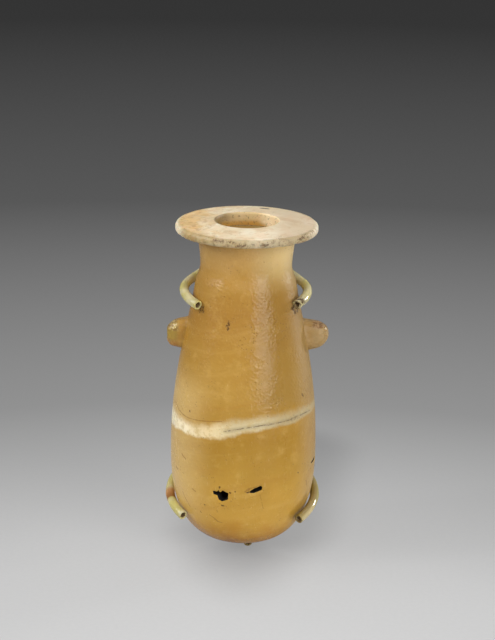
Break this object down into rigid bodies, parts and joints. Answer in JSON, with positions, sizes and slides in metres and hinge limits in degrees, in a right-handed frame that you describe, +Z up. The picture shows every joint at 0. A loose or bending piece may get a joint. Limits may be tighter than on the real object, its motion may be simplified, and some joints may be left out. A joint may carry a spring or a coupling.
{
  "type": "alabastron",
  "caption": "Bag-shaped honey stone alabastron with lugs and a flat pale mouth disc, held upright by a brass rod display mount with clear sleeved prongs.",
  "frame": {"origin": "on the post's axis at the deck's surface, at the root of the post's plug", "axes": "+Z up along the post; the vessel stands in front of the post, towards -Y; +X is to the right as the picture sees it"},
  "size_m": [0.0879, 0.0915, 0.1997],
  "materials": {
    "honey_stone": "worn semi-polish, translucent, with a slanting white band",
    "pale_stone": "worn matt, mottled with dirt along the edge",
    "cement": "matt",
    "brass": "dulled, patinated",
    "tubing": "clear, slightly yellowed, glossy"
  },
  "bodies": {
    "stand": {"post": "brass", "clip_head": "brass", "lower_clip": "brass", "lower_left_sleeve": "tubing", "lower_right_sleeve": "tubing", "bottom_rest": "brass", "bottom_sleeve": "tubing"},
    "vessel": {"vessel_body": "honey_stone", "mouth_disc": "pale_stone", "mouth_bedding": "cement"},
    "upper_left_clip": {"upper_left_prong": "brass", "upper_left_sleeve": "tubing"},
    "upper_right_clip": {"upper_right_prong": "brass", "upper_right_sleeve": "tubing"}
  },
  "joints": [
    {"name": "vessel_turn", "type": "hinge", "parent": "stand", "child": "vessel", "pos_m": [0, -0.04398, 0.00615], "axis": [0, 0, 1], "range_deg": [-60, 60]},
    {"name": "upper_left_swivel", "type": "hinge", "parent": "stand", "child": "upper_left_clip", "pos_m": [-0.007, -0.004, 0.15531], "axis": [0, 0.1736, -0.9848], "range_deg": [0, 70]},
    {"name": "upper_right_swivel", "type": "hinge", "parent": "stand", "child": "upper_right_clip", "pos_m": [0.007, -0.004, 0.15531], "axis": [0, -0.1736, 0.9848], "range_deg": [0, 70]}
  ]
}
